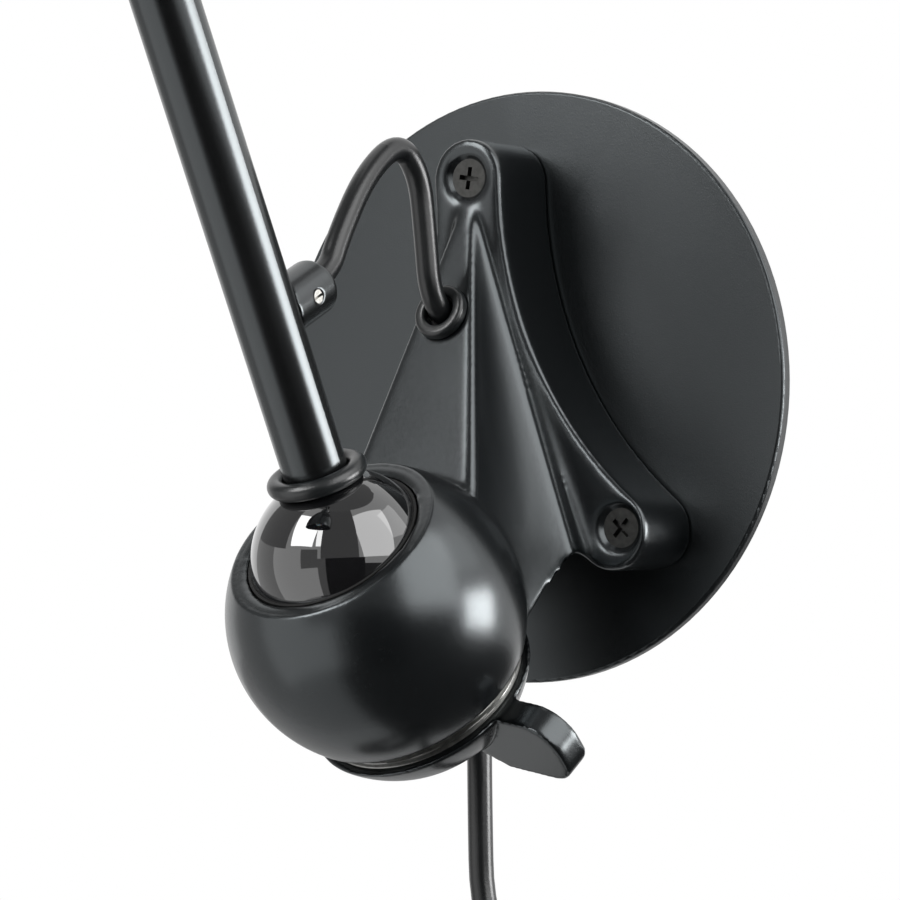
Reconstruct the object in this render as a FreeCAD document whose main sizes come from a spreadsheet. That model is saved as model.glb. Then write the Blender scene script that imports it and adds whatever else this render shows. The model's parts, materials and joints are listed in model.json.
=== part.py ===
import FreeCAD, Part
import Sketcher
import math
import os
import re
from FreeCAD import Placement, Rotation, Vector

# Articulating wall lamp. Millimetres. The origin is the middle of the wall plate's back:
# X to the right, Y into the wall, Z up, so the lamp stands out from the wall towards -Y.
# Turned pieces are drawn about their own Z axis and then placed on the lamp.

doc = FreeCAD.newDocument("wall_lamp")
sheet = doc.addObject("Spreadsheet::Sheet", "Sizes")

sizes = {
    # wall plate
    "plate_diameter": 139, "plate_thick": 3, "plate_edge": 0.8,
    "fixing_spacing": 44, "fixing_diameter": 5,
    # three-armed bracket casting: feet, side walls and cavity
    "foot_radius": 9.1, "top_foot_rise": 47.7, "side_foot_out": 35.1, "side_foot_drop": 35.5,
    "side_screw_out": 37.2, "side_screw_drop": 35,
    "waist_radius": 96, "arch_radius": 45, "rim_rise": 21.05,
    "casting_wall": 3, "flange_thick": 3.5, "boss_thick": 5.5, "boss_radius": 6.6,
    "cord_arch_half": 8,
    # neck of the casting: half widths and how far its ridges stand out, at three heights
    "crown_rise": 41.2, "crown_ridge_half": 1.9, "crown_ridge_out": 21.15,
    "crown_rib_half": 2.6, "crown_rib_width": 0.5, "crown_rib_rise": 0.1, "crown_round": 0.3,
    "skirt_drop": 43, "skirt_ridge_half": 21.9, "skirt_ridge_out": 57.1, "skirt_rib_half": 30.2,
    "skirt_rib_width": 3.4, "skirt_rib_rise": 1.2, "skirt_round": 2,
    "heel_drop": 60, "flute_radius": 60, "hollow_rise": 26, "neck_back": 12, "neck_cut_lean": 40,
    "neck_cut_drop": 40,
    # ball socket at the end of the neck
    "socket_radius": 33.2, "socket_out": 66, "socket_drop": 52.1, "socket_lean": 43.7,
    "mouth_rise": 22.8, "lip_radius": 20.25, "lip_thick": 2.5, "bore_radius": 21.6,
    "socket_cut": 19.6, "thread_radius": 24.5, "thread_top": 9,
    # ball, its seats and the arm's lean from upright
    "ball_radius": 20.5, "ball_rise": 16.1, "arm_lean": 25.4,
    "running_gap": 0.05, "soft_gap": 0.3, "liner_skirt": 5,
    "cup_radius": 21.4, "cup_top": 10.1, "cup_bottom": 24.1, "cup_bore": 10,
    "ring_thick": 2.1, "ring_bore": 12, "ring_travel_gap": 0.5,
    # clamp cap with its thumb lever
    "cap_gap": 3.8, "cap_deep": 16.2, "plug_spigot": 20, "plug_spigot_long": 5,
    "lever_turn": 15, "lever_reach": 8.3, "lever_tall": 16.5, "lever_thick": 7,
    "lever_root": 9.6, "lever_shoulder": 8.5, "lever_end_round": 6, "lever_below_rim": 0.3,
    # arm
    "tube_diameter": 14.3, "tube_wall": 0.95, "arm_length": 380, "tube_seat": 5,
    "nipple_radius": 5, "nipple_long": 14, "nipple_deep": 12,
    "ring_section": 4, "ring_seat_gap": 0.2,
    "collar_height": 57, "collar_diameter": 12.6, "collar_reach": 19.5, "collar_round": 1.5,
    "set_screw_diameter": 3, "set_screw_from_axis": 11.7,
    "lead_diameter": 5.4, "grommet_diameter": 13, "grommet_rise": 2.6, "grommet_height": 15.5,
    # bracket screws
    "screw_diameter": 4, "screw_head": 9.2, "screw_head_deep": 2.5, "counterbore_wide": 10.8,
    "counterbore_deep": 1.5, "screw_long": 16, "pillar_diameter": 7, "cross_wide": 1.1,
    "cross_long": 5.2, "cross_deep": 1.6,
    # wiring inside the casting
    "block_wide": 16, "block_tall": 13, "block_deep": 11, "block_bottom": 2, "block_screw": 3.4,
    "clamp_wide": 25, "clamp_tall": 5, "clamp_thick": 2.2, "clamp_drop": 9, "clamp_screw_x": 8.6,
    # head joint
    "eye_radius": 10, "eye_thick": 8.2, "washer_thick": 1, "cheek_thick": 4, "pivot_diameter": 6,
    "fork_slot": 16, "fork_shoulder": 23, "fork_plug_long": 18, "knob_radius": 11,
    "knob_thick": 9, "knob_grooves": 12, "knob_groove_radius": 2, "nut_radius": 6.5,
    # lamp head, measured along its own axis from the pivot
    "head_lean": 25, "stem_radius": 4, "stem_end": 30, "holder_top_radius": 11,
    "holder_radius": 23, "holder_end": 62, "holder_wall": 2, "holder_slope": 16,
    "socket_flange": 3, "socket_floor": 6, "contact_radius": 4.5, "contact_long": 3,
    "socket_body_radius": 18.5, "socket_body_end": 92, "bulb_socket_radius": 14,
    "shade_neck_radius": 27, "shade_hole_radius": 18.7, "shade_curve": 120,
    "shade_mouth": 172, "shade_mouth_radius": 75,
    "shade_wall": 1.2, "shade_bead": 1.6, "shade_ring_radius": 25, "shade_ring_thick": 6,
    "bulb_cap_radius": 13.2, "bulb_cap_long": 23, "bulb_radius": 28, "bulb_end": 160,
    "bulb_shoulder": 27, "bulb_wall": 0.9, "bush_thick": 1.6,
    "switch_drop": 48, "switch_shaft_radius": 2, "switch_knob_radius": 4.5,
    "switch_knob_long": 11,
    # mains cord, its tied coil and its plug
    "cord_diameter": 5.8, "cord_off_plate": 0.4, "grommet_bore": 7.4, "clamp_screw_radius": 1.5,
    "coil_aside": 8, "coil_off_wall": 29.5, "coil_inner": 21.5, "coil_pitch": 6.6, "coil_turns": 4,
    "coil_centre_drop": 188, "coil_layer": 6.6, "tie_wall": 1.2, "tie_wide": 7,
    "tie_gap": 0.5, "tie_angle": 135, "tail_long": 26, "relief_long": 25,
    "relief_radius": 5.2,
    "plug_long": 34, "plug_wide": 34, "plug_thick": 13, "pin_radius": 2, "pin_long": 19,
    "pin_spacing": 19,
}

for row, (word, value) in enumerate(sizes.items(), start=1):
    sheet.set("A%d" % row, word)
    sheet.set("B%d" % row, str(value))
    sheet.setAlias("B%d" % row, word)
doc.recompute()

parts = []


def bound(text):
    """An expression with each size's name pointed at the sheet."""
    return re.sub(r"[a-z]+(?:_[a-z]+)+", lambda m: "Sizes." + m.group(0), str(text))


def size(text):
    """The value of an expression of sizes."""
    value = sheet.evalExpression(bound(text))
    return float(getattr(value, "Value", value))


def bind(item, **expressions):
    """Tie an object's properties to expressions of the sheet's sizes."""
    for name, text in expressions.items():
        item.setExpression(name.replace("__", "."), bound(text))
    return item


# Frames: where a group of pieces has its own Z axis. Each is a place and a turn about X.
ball_y = "(-socket_out - ball_rise * sin(socket_lean))"
ball_z = "(-socket_drop + ball_rise * cos(socket_lean))"
frames = {
    "lamp": ("0", "0", "0", "0"),
    "socket": ("0", "-socket_out", "-socket_drop", "socket_lean"),
    "arm": ("0", ball_y, ball_z, "arm_lean"),
    "head": ("0", ball_y + " - arm_length * sin(arm_lean)",
             ball_z + " + arm_length * cos(arm_lean)", "-head_lean"),
}


def into(item, frame):
    """Place an object in one of the frames."""
    x, y, z, turn = frames[frame]
    item.Placement = Placement(Vector(0, 0, 0), Rotation(Vector(1, 0, 0), 10))
    bind(item, Placement__Base__x=x, Placement__Base__y=y, Placement__Base__z=z,
         Placement__Rotation__Angle=turn)
    if frame == "lamp":
        item.setExpression("Placement.Rotation.Angle", None)
        item.Placement = Placement()
    return item


def piece(item, label, frame="lamp"):
    """Keep an object as one of the lamp's pieces, under its own name."""
    if frame != "lamp":
        into(item, frame)
    item.Label = label
    parts.append(item)
    return item


def plane_of(body, role):
    return [f for f in body.Origin.OriginFeatures if f.Role == role][0]


def sketch(body, name, role, outline, offset=None):
    """A closed sketch. Each corner is (across, up), or (across, up, radius) where an arc starts
    there: a positive radius turns anticlockwise. All are expressions."""
    drawn = body.newObject("Sketcher::SketchObject", name)
    drawn.AttachmentSupport = [(plane_of(body, role), "")]
    drawn.MapMode = "FlatFace"
    if offset is not None:
        bind(drawn, AttachmentOffset__Base__z=offset)
    corners = [Vector(size(c[0]), size(c[1]), 0) for c in outline]
    ends = []
    for k, corner in enumerate(outline):
        a = corners[k]
        b = corners[(k + 1) % len(corners)]
        if len(corner) == 2:
            drawn.addGeometry(Part.LineSegment(a, b), False)
            ends.append((1, 2))
            continue
        radius = size(corner[2])
        chord = b - a
        side = 1 if radius > 0 else -1
        height = math.sqrt(max(radius ** 2 - chord.Length ** 2 / 4, 0))
        across = Vector(-chord.y, chord.x, 0).normalize() * (side * height)
        middle = (a + b) * 0.5 + across
        start = math.atan2(a.y - middle.y, a.x - middle.x)
        stop = math.atan2(b.y - middle.y, b.x - middle.x)
        if side < 0:
            start, stop = stop, start
        circle = Part.Circle(middle, Vector(0, 0, 1), abs(radius))
        drawn.addGeometry(Part.ArcOfCircle(circle, start, stop), False)
        ends.append((1, 2) if side > 0 else (2, 1))
        index = drawn.addConstraint(Sketcher.Constraint("Radius", k, abs(radius)))
        drawn.setExpression("Constraints[%d]" % index, bound("abs(%s)" % corner[2]))
    for k in range(len(outline)):
        after = (k + 1) % len(outline)
        drawn.addConstraint(
            Sketcher.Constraint("Coincident", k, ends[k][1], after, ends[after][0]))
    for k, corner in enumerate(outline):
        for kind, text, axis in (("DistanceX", corner[0], -2), ("DistanceY", corner[1], -1)):
            if text == "0":
                drawn.addConstraint(Sketcher.Constraint("PointOnObject", k, ends[k][0], axis))
                continue
            index = drawn.addConstraint(
                Sketcher.Constraint(kind, -1, 1, k, ends[k][0], size(text)))
            drawn.setExpression("Constraints[%d]" % index, bound(text))
    return drawn


def turned(name, outline):
    """A body turned about Z from half of its section, drawn as (radius, height)."""
    body = doc.addObject("PartDesign::Body", name)
    drawn = sketch(body, name + "_section", "XZ_Plane", outline)
    turn = body.newObject("PartDesign::Revolution", name + "_turn")
    turn.Profile = drawn
    turn.ReferenceAxis = (drawn, ["V_Axis"])
    turn.Angle = 360.0
    return body


def padded(name, role, outline, length, offset=None, both=False):
    """A body pushed out from a closed sketch on one of its own planes."""
    body = doc.addObject("PartDesign::Body", name)
    drawn = sketch(body, name + "_outline", role, outline, offset)
    pad = body.newObject("PartDesign::Pad", name + "_pad")
    pad.Profile = drawn
    bind(pad, Length=length)
    pad.Midplane = both
    return body


def rod(name, radius, height, base=("0", "0", "0"), axis=(0, 0, 1)):
    """A round bar from a point, along an axis."""
    bar = doc.addObject("Part::Cylinder", name)
    bar.Placement = Placement(Vector(0, 0, 0), Rotation(Vector(0, 0, 1), Vector(*axis)))
    return bind(bar, Radius=radius, Height=height, Placement__Base__x=base[0],
                Placement__Base__y=base[1], Placement__Base__z=base[2])


def block(name, lengths, base):
    """A box from its lowest corner."""
    box = doc.addObject("Part::Box", name)
    return bind(box, Length=lengths[0], Width=lengths[1], Height=lengths[2],
                Placement__Base__x=base[0], Placement__Base__y=base[1],
                Placement__Base__z=base[2])


def fused(name, *shapes):
    join = doc.addObject("Part::MultiFuse", name)
    join.Shapes = list(shapes)
    return join


def cut(name, base, *tools):
    """base with the tools taken out of it."""
    less = doc.addObject("Part::Cut", name)
    less.Base = base
    less.Tool = tools[0] if len(tools) == 1 else fused(name + "_tools", *tools)
    return less


def group(name, *shapes):
    """Separate solids kept as one piece."""
    together = doc.addObject("Part::Compound", name)
    together.Links = list(shapes)
    return together


# ---- wall plate and the posts that carry the casting

feet = {
    "top": ("0", "top_foot_rise"),
    "left": ("-side_foot_out", "-side_foot_drop"),
    "right": ("side_foot_out", "-side_foot_drop"),
}
screw_places = {
    "top": ("0", "top_foot_rise"),
    "left": ("-side_screw_out", "-side_screw_drop"),
    "right": ("side_screw_out", "-side_screw_drop"),
}


def make_wall_plate():
    disc = turned("plate_disc", [
        ("0", "0"), ("plate_diameter/2", "0"),
        ("plate_diameter/2", "plate_thick - plate_edge", "plate_edge"),
        ("plate_diameter/2 - plate_edge", "plate_thick"), ("0", "plate_thick")])
    disc.Placement = Placement(Vector(0, 0, 0), Rotation(Vector(1, 0, 0), 90))
    holes = [rod("fixing_hole_%s" % side, "fixing_diameter/2", "plate_thick",
                 ("0", "0", sign + "fixing_spacing/2"), (0, -1, 0))
             for side, sign in (("upper", ""), ("lower", "-"))]
    piece(cut("plate", disc, *holes), "wall_plate")


def make_pillars():
    posts = []
    for side, (x, z) in screw_places.items():
        post = rod("post_" + side, "pillar_diameter/2",
                   "rim_rise - boss_thick", (x, "-plate_thick", z), (0, -1, 0))
        bore = rod("post_bore_" + side, "screw_diameter/2 + running_gap",
                   "rim_rise - boss_thick - 2", (x, "-plate_thick - 2", z), (0, -1, 0))
        posts.append(cut("drilled_post_" + side, post, bore))
    piece(group("pillars", *posts), "casting_pillars")


def make_bracket_screws():
    screws = []
    for side, (x, z) in screw_places.items():
        face = "(-plate_thick - rim_rise + counterbore_deep)"
        head = doc.addObject("Part::Cone", "screw_head_" + side)
        head.Placement = Placement(Vector(0, 0, 0), Rotation(Vector(0, 0, 1), Vector(0, 1, 0)))
        bind(head, Radius1="screw_head/2", Radius2="screw_diameter/2", Height="screw_head_deep",
             Placement__Base__x=x, Placement__Base__y=face, Placement__Base__z=z)
        shank = rod("screw_shank_" + side, "screw_diameter/2", "screw_long",
                    (x, face, z), (0, 1, 0))
        bars = []
        turn = {"top": 12, "left": 30, "right": 45}[side]
        for arm in (0, 90):
            bar = block("cross_%s_%d" % (side, arm),
                        ("cross_long", "cross_deep", "cross_wide"),
                        ("0", "0", "0"))
            angle = Rotation(Vector(0, 1, 0), turn + arm)
            half = Vector(size("cross_long") / 2, 0, size("cross_wide") / 2)
            bar.Placement.Rotation = angle
            shift = angle.multVec(half)
            bind(bar, Placement__Base__x="%s - (%f)" % (x, shift.x),
                 Placement__Base__y=face, Placement__Base__z="%s - (%f)" % (z, shift.z))
            bars.append(bar)
        screws.append(cut("screw_" + side, fused("screw_blank_" + side, head, shank), *bars))
    piece(group("screws", *screws), "bracket_screws")


# ---- bracket casting

def tripod(name, foot, waist, arch, depth):
    """The casting's plan: three round feet joined by hollow sides, pushed out from the wall."""
    body = doc.addObject("PartDesign::Body", name)
    drawn = body.newObject("Sketcher::SketchObject", name + "_plan")
    drawn.AttachmentSupport = [(plane_of(body, "XZ_Plane"), "")]
    drawn.MapMode = "FlatFace"
    centres = {side: Vector(size(x), size(z), 0) for side, (x, z) in feet.items()}
    walls = [("top", "right", waist), ("right", "left", arch), ("left", "top", waist)]
    bends = {}
    for one, two, radius in walls:
        chord = centres[two] - centres[one]
        out = Vector(-chord.y, chord.x, 0).normalize()
        reach = math.sqrt((size(radius) + size(foot)) ** 2 - chord.Length ** 2 / 4)
        bends[(one, two)] = (centres[one] + centres[two]) * 0.5 + out * reach

    def touch(side, bend):
        toward = (bend - centres[side]).normalize()
        return centres[side] + toward * size(foot)

    def arc(middle, a, b):
        start = math.atan2(a.y - middle.y, a.x - middle.x)
        stop = math.atan2(b.y - middle.y, b.x - middle.x)
        circle = Part.Circle(middle, Vector(0, 0, 1), (a - middle).Length)
        return drawn.addGeometry(Part.ArcOfCircle(circle, start, stop), False)

    # clockwise round the plan: foot, wall, foot, wall, foot, wall
    order = ["top", "right", "left"]
    for k, side in enumerate(order):
        before = order[k - 1]
        after = order[(k + 1) % 3]
        arc(centres[side], touch(side, bends[(side, after)]), touch(side, bends[(before, side)]))
        bend = bends[(side, after)]
        arc(bend, touch(side, bend), touch(after, bend))
    for k, side in enumerate(order):
        this_foot = 2 * k
        wall = 2 * k + 1
        next_foot = (2 * k + 2) % 6
        drawn.addConstraint(Sketcher.Constraint("Tangent", this_foot, 1, wall, 1))
        drawn.addConstraint(Sketcher.Constraint("Tangent", wall, 2, next_foot, 2))
        for axis, text, line in (("DistanceX", feet[side][0], -2),
                                 ("DistanceY", feet[side][1], -1)):
            if text == "0":
                drawn.addConstraint(Sketcher.Constraint("PointOnObject", this_foot, 3, line))
                continue
            index = drawn.addConstraint(
                Sketcher.Constraint(axis, -1, 1, this_foot, 3, size(text)))
            drawn.setExpression("Constraints[%d]" % index, bound(text))
        for curve, text in ((this_foot, foot), (wall, walls[k][2])):
            index = drawn.addConstraint(Sketcher.Constraint("Radius", curve, size(text)))
            drawn.setExpression("Constraints[%d]" % index, bound(text))
    pad = body.newObject("PartDesign::Pad", name + "_pad")
    pad.Profile = drawn
    bind(pad, Length=depth)
    bind(body, Placement__Base__y="-plate_thick")
    return body


# The neck's level sections. Each size runs from its value at the crown to that at the skirt.
def along_neck(what, rise):
    return "(crown_%s + (skirt_%s - crown_%s) * (crown_rise - (%s)) / (crown_rise + skirt_drop))" % (
        what, what, what, rise)


def neck_section(body, name, rise, inset):
    """A flat front between two rounded ridges, a hollow flute down each side, and a raised rib
    where the flute meets the flange."""
    ridge_half, ridge_out, rib_half, rib_width, rib_rise, corner = [
        along_neck(what, rise) for what in ("ridge_half", "ridge_out", "rib_half", "rib_width",
                                            "rib_rise", "round")]
    half = "(%s - %s)" % (ridge_half, inset)
    front = "(-plate_thick - %s + %s)" % (ridge_out, inset)
    rib = "(%s - %s)" % (rib_half, inset)
    flange = "(-plate_thick - rim_rise + %s)" % inset
    crest = "(%s - %s)" % (flange, rib_rise)
    back = "(-plate_thick - neck_back + %s)" % inset
    right = [
        ("%s + %s" % (rib, rib_rise), back), ("%s + %s" % (rib, rib_rise), flange),
        (rib, crest),
        ("%s - %s" % (rib, rib_width), "%s + %s/2" % (crest, rib_rise), "flute_radius"),
        (half, front + " + " + corner, "-" + corner)]
    left = [
        ("-(%s - %s)" % (half, corner), front, "-" + corner),
        ("-" + half, front + " + " + corner, "flute_radius"),
        ("-(%s - %s)" % (rib, rib_width), "%s + %s/2" % (crest, rib_rise)),
        ("-" + rib, crest),
        ("-(%s + %s)" % (rib, rib_rise), flange), ("-(%s + %s)" % (rib, rib_rise), back)]
    front_right = [("(%s - %s)" % (half, corner), front)]
    return sketch(body, name, "XY_Plane", right + front_right + left, rise)


def lofted_neck(name, top_rise, inset):
    """A ruled loft between the neck's level sections, down to inside the ball socket."""
    body = doc.addObject("PartDesign::Body", name)
    first = neck_section(body, name + "_top", top_rise, inset)
    last = neck_section(body, name + "_heel", "-heel_drop", inset)
    loft = body.newObject("PartDesign::AdditiveLoft", name + "_loft")
    loft.Profile = first
    loft.Sections = [last]
    loft.Ruled = True
    return body


def make_casting():
    outside = tripod("plan", "foot_radius", "waist_radius", "arch_radius", "rim_rise")
    hollow = tripod("core", "foot_radius - casting_wall", "waist_radius + casting_wall",
                    "arch_radius + casting_wall", "rim_rise - flange_thick")
    bosses = [rod("boss_" + side, "boss_radius", "boss_thick",
                  (x, "-plate_thick - rim_rise", z), (0, 1, 0))
              for side, (x, z) in screw_places.items()]
    neck = lofted_neck("neck", "crown_rise", "0")
    underside = block("underside", ("plate_diameter", "plate_diameter", "plate_diameter"),
                      ("-plate_diameter/2", "0", "0"))
    underside.Placement.Rotation = Rotation(Vector(1, 0, 0), 10)
    bind(underside, Placement__Base__x="-plate_diameter/2",
         Placement__Rotation__Angle="neck_cut_lean",
         Placement__Base__y="-plate_thick - rim_rise - plate_diameter * cos(neck_cut_lean) / 2"
                            " + plate_diameter * sin(neck_cut_lean)",
         Placement__Base__z="-neck_cut_drop - plate_diameter * sin(neck_cut_lean) / 2"
                            " - plate_diameter * cos(neck_cut_lean)")
    neck = cut("trimmed_neck", neck, underside)
    core = cut("plan_core", hollow, *bosses)
    shell = cut("shell", fused("solid_bracket", outside, neck), core,
                lofted_neck("neck_core", "hollow_rise", "casting_wall"))
    socket = turned("socket", [
        ("bore_radius", "-thread_top"), ("thread_radius", "-thread_top"),
        ("thread_radius", "-socket_cut"),
        ("sqrt(socket_radius^2 - socket_cut^2)", "-socket_cut", "socket_radius"),
        ("sqrt(socket_radius^2 - mouth_rise^2)", "mouth_rise"),
        ("lip_radius", "mouth_rise"), ("lip_radius", "mouth_rise - lip_thick"),
        ("bore_radius", "mouth_rise - lip_thick")])
    into(socket, "socket")
    inside = turned("socket_inside", [
        ("0", "-socket_cut"), ("thread_radius", "-socket_cut"), ("thread_radius", "-thread_top"),
        ("bore_radius", "-thread_top"), ("bore_radius", "mouth_rise - lip_thick"),
        ("lip_radius", "mouth_rise - lip_thick"), ("lip_radius", "mouth_rise"),
        ("lip_radius", "mouth_rise + ball_radius"), ("0", "mouth_rise + ball_radius")])
    into(inside, "socket")
    cap_room = into(turned("cap_room", [
        ("0", "-socket_cut - socket_radius"),
        ("socket_radius + cap_gap", "-socket_cut - socket_radius"),
        ("socket_radius + cap_gap", "-socket_cut"), ("0", "-socket_cut")]), "socket")
    joined = fused("joined", cut("shell_for_ball", shell, inside, cap_room), socket)
    holes = []
    for side, (x, z) in screw_places.items():
        face = "(-plate_thick - rim_rise)"
        holes.append(rod("counterbore_" + side, "counterbore_wide/2", "counterbore_deep",
                         (x, face, z), (0, 1, 0)))
        sink = doc.addObject("Part::Cone", "countersink_" + side)
        sink.Placement = Placement(Vector(0, 0, 0), Rotation(Vector(0, 0, 1), Vector(0, 1, 0)))
        bind(sink, Radius1="screw_head/2 + running_gap", Radius2="screw_diameter/2 + running_gap",
             Height="screw_head_deep", Placement__Base__x=x,
             Placement__Base__y=face + " + counterbore_deep", Placement__Base__z=z)
        holes.append(sink)
        holes.append(rod("screw_way_" + side, "screw_diameter/2 + running_gap", "boss_thick",
                         (x, face, z), (0, 1, 0)))
    lead_way = rod("lead_way", "grommet_diameter/2 - grommet_rise/2 - running_gap",
                   "3 * casting_wall", ("0", "0", "-2 * casting_wall"))
    into(lead_way, "face")
    bind(lead_way, Placement__Base__y=face_y + " - 2 * casting_wall * sin(%s) * -1" % face_turn,
         Placement__Base__z="grommet_height - 2 * casting_wall * cos(%s)" % face_turn)
    cord_way = block("cord_way", ("2 * cord_arch_half", "rim_rise - 1", "side_foot_drop"),
                     ("-cord_arch_half", "-plate_thick - rim_rise + 1",
                      "-2 * side_foot_drop + cord_arch_half"))
    piece(cut("casting", joined, lead_way, cord_way, *holes), "bracket_casting")


# The neck's flat front, where the grommet sits.
face_turn = ("(90 deg - atan((skirt_ridge_out - crown_ridge_out) / (crown_rise + skirt_drop)))")
face_y = "(-plate_thick - %s)" % along_neck("ridge_out", "grommet_height")
frames["face"] = ("0", face_y, "grommet_height", face_turn)


# ---- ball, its seats and the screw clamp under it

def make_seats():
    """The black ring that the ball bears up against, and the cup that presses it from below."""
    seat = "(ball_radius + running_gap)"
    top = "(mouth_rise - 0.4)"
    outer = "(bore_radius - running_gap)"
    piece(turned("liner", [
        (seat, "ball_rise - liner_skirt"), (outer, "ball_rise - liner_skirt"),
        (outer, "mouth_rise - lip_thick"), ("lip_radius - running_gap", "mouth_rise - lip_thick"),
        ("lip_radius - running_gap", top),
        ("sqrt(%s^2 - (%s - ball_rise)^2)" % (seat, top), top, "-" + seat),
        (seat, "ball_rise")]), "socket_liner", "socket")
    low = "(ball_rise - cup_bottom)"
    high = "(ball_rise - cup_top)"
    piece(turned("cup", [
        ("cup_bore", low), ("cup_radius", low), ("cup_radius", high),
        ("sqrt(%s^2 - cup_top^2)" % seat, high, "-" + seat),
        ("cup_bore", "ball_rise - sqrt(%s^2 - cup_bore^2)" % seat)]), "pressure_cup", "socket")
    piece(turned("thrust", [
        ("ring_bore", low + " - ring_thick"), ("cup_radius", low + " - ring_thick"),
        ("cup_radius", low), ("ring_bore", low)]), "thrust_ring", "socket")


def make_clamp():
    """A bare steel threaded plug and the black cap on it, with its thumb lever."""
    top = "(ball_rise - cup_bottom - ring_thick - ring_travel_gap)"
    face = "(-socket_cut - cap_gap)"
    piece(turned("plug", [
        ("0", face + " - plug_spigot_long"),
        ("plug_spigot - running_gap", face + " - plug_spigot_long"),
        ("plug_spigot - running_gap", face), ("thread_radius - running_gap", face),
        ("thread_radius - running_gap", top), ("0", top)]), "clamp_screw", "socket")
    rim = "sqrt(socket_radius^2 - socket_cut^2)"
    dome = turned("dome", [
        ("0", face + " - cap_deep", "(%s^2 + cap_deep^2) / (2 * cap_deep)" % rim),
        (rim, face), ("plug_spigot", face),
        ("plug_spigot", face + " - plug_spigot_long"), ("0", face + " - plug_spigot_long")])
    lever_top = "(%s - lever_below_rim)" % face
    lever_low = "(%s - lever_below_rim - lever_tall)" % face
    tip = "(socket_radius + lever_reach)"
    lever = padded("lever", "XZ_Plane", [
        ("plug_spigot + 1", lever_low + " + lever_root"),
        ("plug_spigot - lever_root", lever_low + " + lever_root/2"),
        ("plug_spigot + 1", lever_low),
        (tip + " - lever_end_round", lever_low, "lever_end_round"),
        (tip, lever_low + " + lever_end_round"),
        (tip, lever_top + " - lever_shoulder", "lever_shoulder"),
        (tip + " - lever_shoulder", lever_top),
        ("plug_spigot + 1", lever_top)], "lever_thick", both=True)
    lever.Placement.Rotation = Rotation(Vector(0, 0, 1), -10)
    lever.setExpression("Placement.Rotation.Angle", bound("-lever_turn"))
    piece(fused("cap", dome, lever), "clamp_cap", "socket")


def make_ball():
    tube = "(tube_diameter/2)"
    seat = "(sqrt(ball_radius^2 - (tube_diameter/2 + running_gap)^2) - tube_seat)"
    hole = "(%s + running_gap)" % tube
    bore = "(nipple_radius)"
    piece(turned("ball_turned", [
        ("0", "-ball_radius", "ball_radius"),
        (hole, "sqrt(ball_radius^2 - %s^2)" % hole), (hole, seat), (bore, seat),
        (bore, seat + " - nipple_deep"), ("0", seat + " - nipple_deep")]), "ball", "arm")
    piece(turned("nipple", [
        ("lead_diameter/2", seat + " - nipple_deep"), (bore, seat + " - nipple_deep"),
        (bore, seat), (tube + " - tube_wall - running_gap", seat),
        (tube + " - tube_wall - running_gap", seat + " + nipple_long"),
        ("lead_diameter/2", seat + " + nipple_long")]), "ball_nipple", "arm")
    return seat


# ---- arm

def make_arm(seat):
    outer = "(tube_diameter/2)"
    inner = "(tube_diameter/2 - tube_wall)"
    end = "(arm_length - fork_shoulder)"
    tube = turned("tube", [
        (inner, seat), (outer, seat), (outer, end), (inner, end)])
    side_hole = rod("lead_hole", "lead_diameter/2 + running_gap", "tube_diameter",
                    ("0", "0", "collar_height"), (0, 1, 0))
    piece(cut("drilled_tube", tube, side_hole), "arm_tube", "arm")
    ring = doc.addObject("Part::Torus", "ring")
    bind(ring, Radius1="(tube_diameter + ring_section)/2 + running_gap", Radius2="ring_section/2")
    seat_height = ("sqrt((ball_radius + ring_section/2 + running_gap)^2"
                   " - ((tube_diameter + ring_section)/2 + running_gap)^2)")
    piece(into_above(ring, seat_height), "arm_ring")
    collar = turned("collar_blank", [
        ("0", "0"), ("collar_diameter/2", "0"),
        ("collar_diameter/2", "collar_reach - collar_round", "collar_round"),
        ("collar_diameter/2 - collar_round", "collar_reach"), ("0", "collar_reach")])
    collar.Placement = Placement(Vector(0, 0, 0), Rotation(Vector(1, 0, 0), -90))
    bind(collar, Placement__Base__z="collar_height")
    way = rod("collar_bore", "lead_diameter/2 + running_gap", "collar_reach",
              ("0", "0", "collar_height"), (0, 1, 0))
    saddle = rod("saddle", "tube_diameter/2 + running_gap", "arm_length", ("0", "0", "0"))
    tapped = rod("tapped", "set_screw_diameter/2 + running_gap", "collar_diameter",
                 ("0", "set_screw_from_axis", "collar_height"), (1, 0, 0))
    piece(cut("collar", collar, way, saddle, tapped), "lead_collar", "arm")
    screw = rod("set_screw_bar", "set_screw_diameter/2",
                "collar_diameter/2 - lead_diameter/2 - 0.4",
                ("lead_diameter/2 + 0.1", "set_screw_from_axis", "collar_height"), (1, 0, 0))
    slot = block("set_screw_slot", ("0.8", "set_screw_diameter", "0.5"),
                 ("collar_diameter/2 - 0.3 - 0.8", "set_screw_from_axis - set_screw_diameter/2",
                  "collar_height - 0.25"))
    piece(cut("set_screw", screw, slot), "collar_screw", "arm")


def into_above(item, height):
    """Place an object in the arm's frame, a height up the arm from the ball."""
    item.Placement = Placement(Vector(0, 0, 0), Rotation(Vector(1, 0, 0), 10))
    return bind(item, Placement__Base__y="%s - (%s) * sin(arm_lean)" % (ball_y, height),
                Placement__Base__z="%s + (%s) * cos(arm_lean)" % (ball_z, height),
                Placement__Rotation__Angle="arm_lean")


# ---- joint between arm and lamp head

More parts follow.
